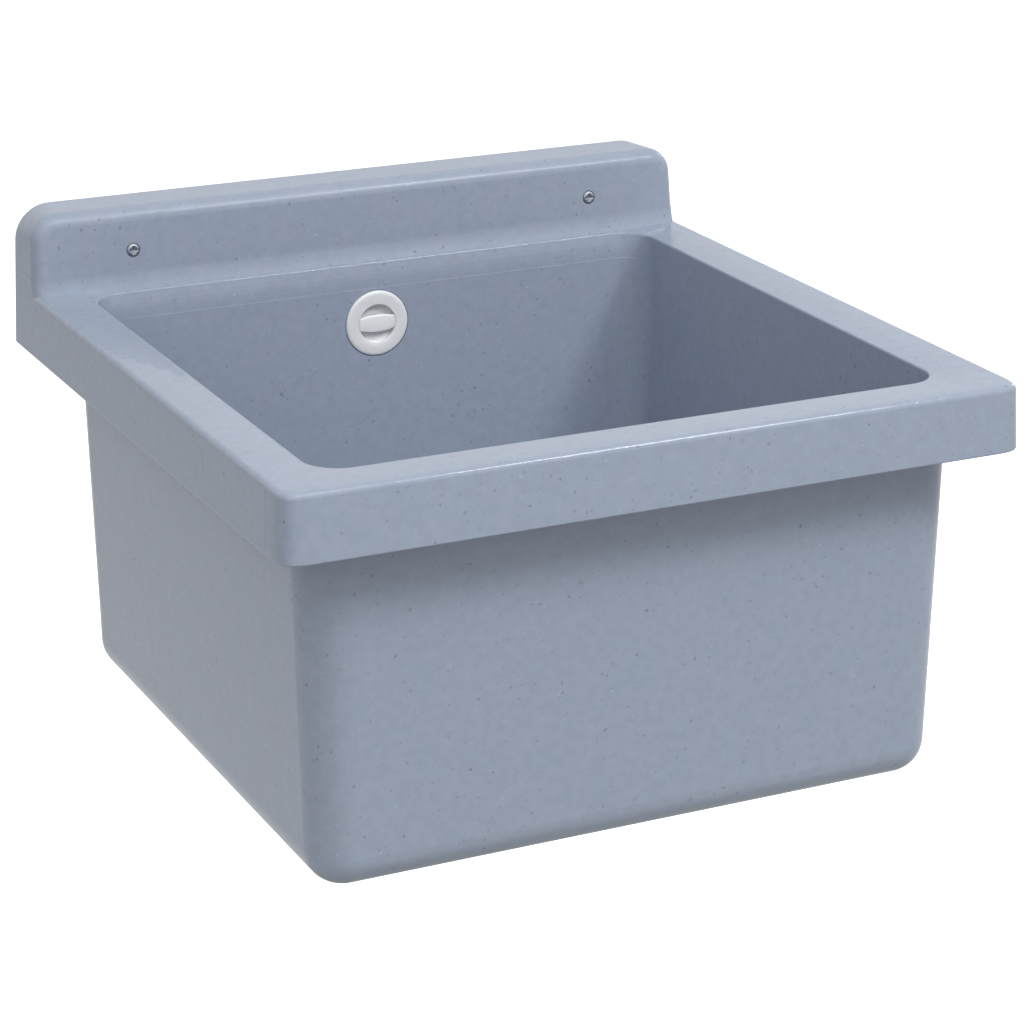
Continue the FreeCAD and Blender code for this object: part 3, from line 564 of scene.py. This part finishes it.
outletSpigot = {
    "runOut": (0.0148, 0.0144),  # heights above the end, between the plain collar and the thread
    "outerFrom": 0.0231,  # what lies farther out is the outside
    "core": 0.0227,
    "threadFrom": 0.0007,
    "thread": {
        "core": 0.0226, "crest": 0.0239, "pitch": 0.00231, "length": 0.0127, "turnSteps": 72, "taper": 0},
    "sharpAngle": 40,
}


def makeOutletSpigot():
    bm = mergedCopy("outlet_spigot")
    low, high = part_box("outlet_spigot")
    centre = (low + high) / 2
    threadTop = low.z + outletSpigot["runOut"][1]
    drawIn = outletSpigot["thread"]["crest"] - outletSpigot["core"]
    for height in outletSpigot["runOut"]:
        bmesh.ops.bisect_plane(
            bm, geom=bm.verts[:] + bm.edges[:] + bm.faces[:], plane_co=(0, 0, low.z + height),
            plane_no=(0, 0, 1), dist=sameSpot)
    for vert in bm.verts:
        middle = Vector((centre.x, centre.y, vert.co.z))
        outward = vert.co - middle
        if vert.co.z < threadTop + slack and outward.length > outletSpigot["outerFrom"]:
            vert.co = middle + outward.normalized() * (outward.length - drawIn)
    foot = Vector((centre.x, centre.y, low.z + outletSpigot["threadFrom"]))
    addThread(bm, foot, Vector((0, 0, 1)), outletSpigot["thread"])
    mesh = smoothMesh("outletSpigot", bm, outletSpigot["sharpAngle"])
    standFor("outlet_spigot", mesh, finishes["drain_plastic"])


makeBasin()
makeWallScrews()
makeOverflowCover()
makeOutletSpigot()
print("pieces ready: basin, screws, overflow cover, outlet spigot")


# studio

studio = {
    "floorDrop": 0.55,  # wall-hung, so the floor lies this far below the outlet
    "floorSize": 30.0,
    "floorColor": (0.80, 0.80, 0.80, 1),
    "floorRough": 0.9,
    "floorGlow": (0.40, 1.00),  # near the shadow and far from it
    "glowReach": (0.25, 0.65),
    "mirroredGlow": 0.45,  # the floor as the sink's skin mirrors it
    "white": (1, 1, 1, 1),
    "worldLight": 0.324,
    "lampDistance": 2.6,
    "lamps": {  # azimuth and elevation in degrees, size in metres, power in watts
        "keyLight": (38, 48, 0.55, 23.8),
        "topLight": (0, 60, 1.6, 30.6),
        "leftFill": (-45, 35, 1.6, 9.8),
        "backFill": (-135, 30, 1.6, 5.0),
        "glintLight": (117, 19, 0.35, 4.0),
    },
}
floorLevel = Vector((0, 0, cadBox[0].z - studio["floorDrop"]))


def shownRays(tree, mirrored):  # rays that show the white background: seen straight, or mirrored or through
    path = addNode(tree, "ShaderNodeLightPath")
    bent = math2(tree, "MAXIMUM", path.outputs["Is Glossy Ray"], path.outputs["Is Transmission Ray"])
    return math2(tree, "MAXIMUM", path.outputs["Is Camera Ray"], math2(tree, "MULTIPLY", bent, mirrored))


def makeFloorMaterial():
    settings = {
        "Base Color": studio["floorColor"], "Roughness": studio["floorRough"], "Specular IOR Level": 0.0,
        "Emission Color": studio["white"]}
    material, tree, shader, place = newMaterial("paleFloor", settings)
    reach = vectorMath(tree, "DISTANCE", {0: place, 1: floorLevel}).outputs["Value"]
    fade = remap(tree, reach, studio["glowReach"], studio["floorGlow"])
    glow = math2(tree, "MULTIPLY", shownRays(tree, studio["mirroredGlow"]), fade)
    feed(tree, shader, "Emission Strength", glow)
    clear = addNode(tree, "ShaderNodeBsdfTransparent").outputs[0]  # from below, the floor isn't in the way
    behind = addNode(tree, "ShaderNodeNewGeometry").outputs["Backfacing"]
    shown = addNode(tree, "ShaderNodeMixShader", {0: behind, 1: shader.outputs[0], 2: clear})
    tree.links.new(shown.outputs[0], tree.nodes["Material Output"].inputs["Surface"])
    return material


def makeFloor():
    mesh = bpy.data.meshes.new("studioFloor")
    bm = bmesh.new()
    bmesh.ops.create_grid(bm, x_segments=1, y_segments=1, size=studio["floorSize"] / 2)
    bmesh.ops.translate(bm, verts=bm.verts, vec=floorLevel)
    bm.to_mesh(mesh)
    bm.free()
    floor = bpy.data.objects.new("studioFloor", mesh)
    bpy.context.scene.collection.objects.link(floor)
    mesh.materials.append(makeFloorMaterial())


def makeWorld():
    world = bpy.data.worlds.new("studioWhite")
    world.use_nodes = True
    bpy.context.scene.world = world
    tree = world.node_tree
    back = tree.nodes["Background"]
    back.inputs["Color"].default_value = studio["white"]
    strength = remap(tree, shownRays(tree, 1.0), fullSpan, (studio["worldLight"], 1.0))
    tree.links.new(strength, back.inputs["Strength"])


def addLamp(name, azimuth, elevation, size, power):
    aim = (cadBox[0] + cadBox[1]) / 2
    turn, rise = math.radians(azimuth), math.radians(elevation)
    back = Vector((math.sin(turn) * math.cos(rise), -math.cos(turn) * math.cos(rise), math.sin(rise)))
    lamp = bpy.data.lights.new(name, "AREA")
    lamp.size = size
    lamp.energy = power
    obj = bpy.data.objects.new(name, lamp)
    obj.location = aim + back * studio["lampDistance"]
    obj.rotation_euler = (-back).to_track_quat("-Z", "Y").to_euler()
    bpy.context.scene.collection.objects.link(obj)


makeFloor()
makeWorld()
for name, settings in studio["lamps"].items():
    addLamp(name, *settings)

view = {
    "place": (-0.6861, -1.6651, 0.4504),
    "turn": (70.529, 0.0, -25.462),  # degrees
    "lens": 112.24,
    "sensor": 36.0,
}
camera = bpy.data.cameras.new("photoView")
camera.lens = view["lens"]
camera.sensor_width = view["sensor"]
cameraObject = bpy.data.objects.new("photoView", camera)
cameraObject.location = view["place"]
cameraObject.rotation_euler = [math.radians(turn) for turn in view["turn"]]
bpy.context.scene.collection.objects.link(cameraObject)
bpy.context.scene.camera = cameraObject
bpy.context.scene.view_settings.view_transform = "Standard"
print("studio and camera ready")
